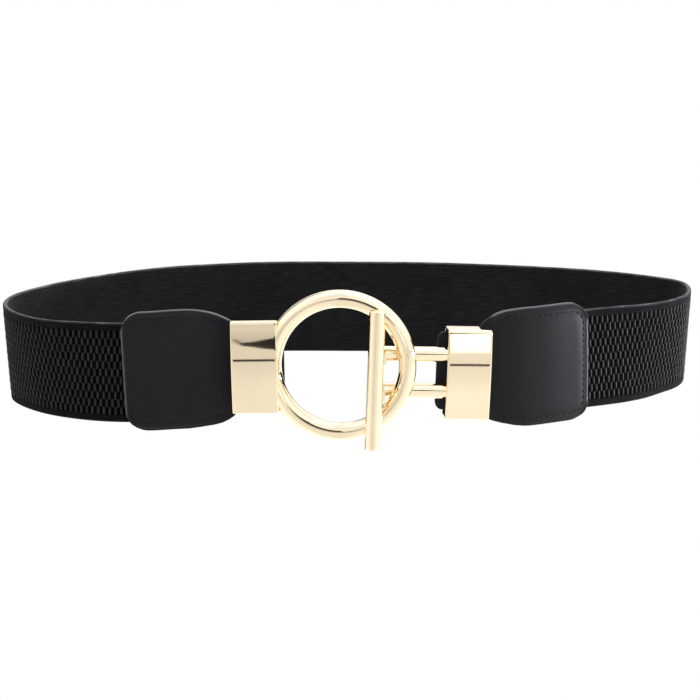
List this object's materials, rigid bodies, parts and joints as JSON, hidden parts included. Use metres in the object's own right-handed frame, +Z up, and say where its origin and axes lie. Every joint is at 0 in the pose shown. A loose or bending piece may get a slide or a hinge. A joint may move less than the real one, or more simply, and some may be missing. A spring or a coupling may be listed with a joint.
{
  "type": "elastic stretch belt",
  "caption": "Fastened waist belt of woven elastic with leather ends; a metal bar on two rods hooks into a metal ring at the front; stands by itself on its lower edge.",
  "frame": {"origin": "on the surface that the belt stands on, under the middle of its overall box", "axes": "+X to the right along the loop's long way, seen from the front; +Y from the clasp towards the back of the loop; +Z up, from the lower edge to the upper edge"},
  "size_m": [0.2846, 0.15, 0.0613],
  "materials": {
    "elastic": "black woven elastic with raised charcoal lozenges in staggered rows between two plain selvedges",
    "leather": "near-black smooth leather with fine grain, lightly burnished edges and one black stitch row",
    "gold": "pale gold plating, mirror polished"
  },
  "bodies": {
    "root": {"elastic_band": "elastic", "ring_tab": "leather", "toggle_tab": "leather", "ring_buckle": "gold", "toggle_buckle": "gold"}
  },
  "joints": []
}
